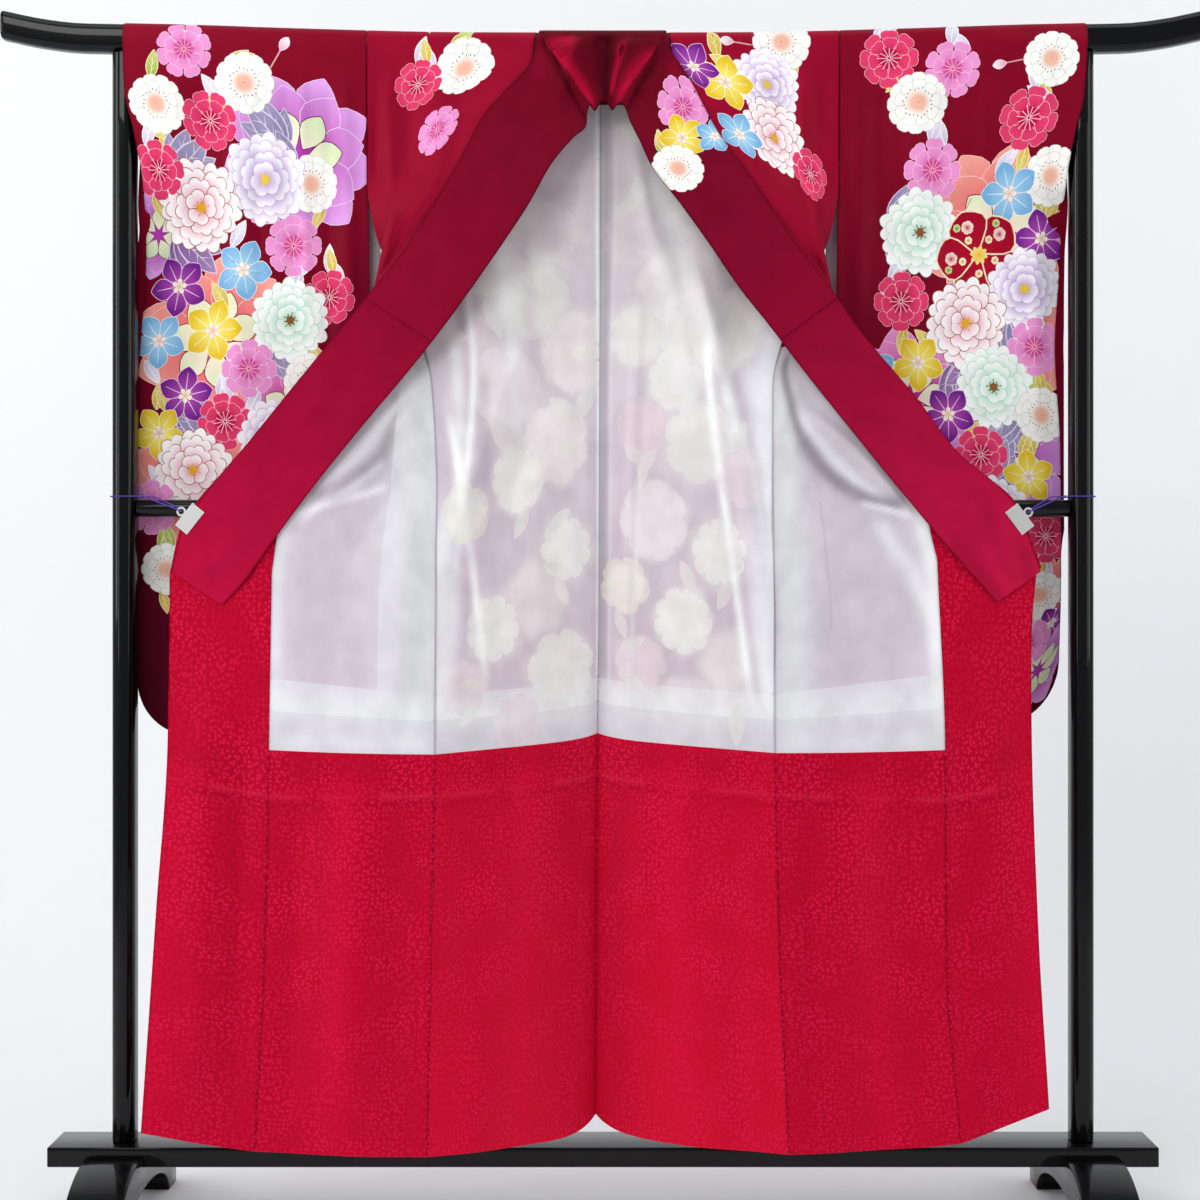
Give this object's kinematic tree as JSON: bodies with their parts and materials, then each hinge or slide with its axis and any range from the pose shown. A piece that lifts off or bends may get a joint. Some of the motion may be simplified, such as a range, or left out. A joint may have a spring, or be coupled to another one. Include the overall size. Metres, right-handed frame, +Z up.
{
  "type": "furisode kimono on a kimono stand",
  "caption": "crimson furisode kimono with a flower print, hung open on a black lacquered kimono stand",
  "frame": {"origin": "on the floor, under the middle of the stand (middle of the bounding box, at its bottom)", "axes": "+X to the right seen from the front, +Y from the front to the back, +Z up; the front is at -Y"},
  "size_m": [1.73, 0.45, 1.736],
  "materials": {
    "crimson_silk": "fine figured silk with a soft sheen, printed with flowers",
    "red_lining": "figured silk with small blossoms, satin sheen",
    "white_lining": "thin plain silk, slightly see-through, soft shine",
    "black_lacquer": "polished black lacquer",
    "clip_metal": "bright nickel plate",
    "violet_cord": "thin matt cord"
  },
  "bodies": {
    "root": {"back_left": "crimson_silk", "back_right": "crimson_silk", "base_beam": "black_lacquer", "clip_cord_left": "violet_cord", "clip_cord_right": "violet_cord", "clip_left": "clip_metal", "clip_right": "clip_metal", "collar": "crimson_silk", "foot_left": "black_lacquer", "foot_right": "black_lacquer", "front_left": "crimson_silk", "front_right": "crimson_silk", "hem_lining_back_left": "red_lining", "hem_lining_back_right": "red_lining", "hem_lining_front_left": "red_lining", "hem_lining_front_right": "red_lining", "hem_lining_okumi_left": "red_lining", "hem_lining_okumi_right": "red_lining", "lining_back_left": "white_lining", "lining_back_right": "white_lining", "lining_front_left": "white_lining", "lining_front_right": "white_lining", "middle_rail": "black_lacquer", "okumi_left": "crimson_silk", "okumi_right": "crimson_silk", "over_collar": "crimson_silk", "post_left": "black_lacquer", "post_right": "black_lacquer", "sleeve_left": "crimson_silk", "sleeve_lining_left": "white_lining", "sleeve_lining_right": "white_lining", "sleeve_right": "crimson_silk", "top_bar": "black_lacquer"}
  },
  "joints": []
}
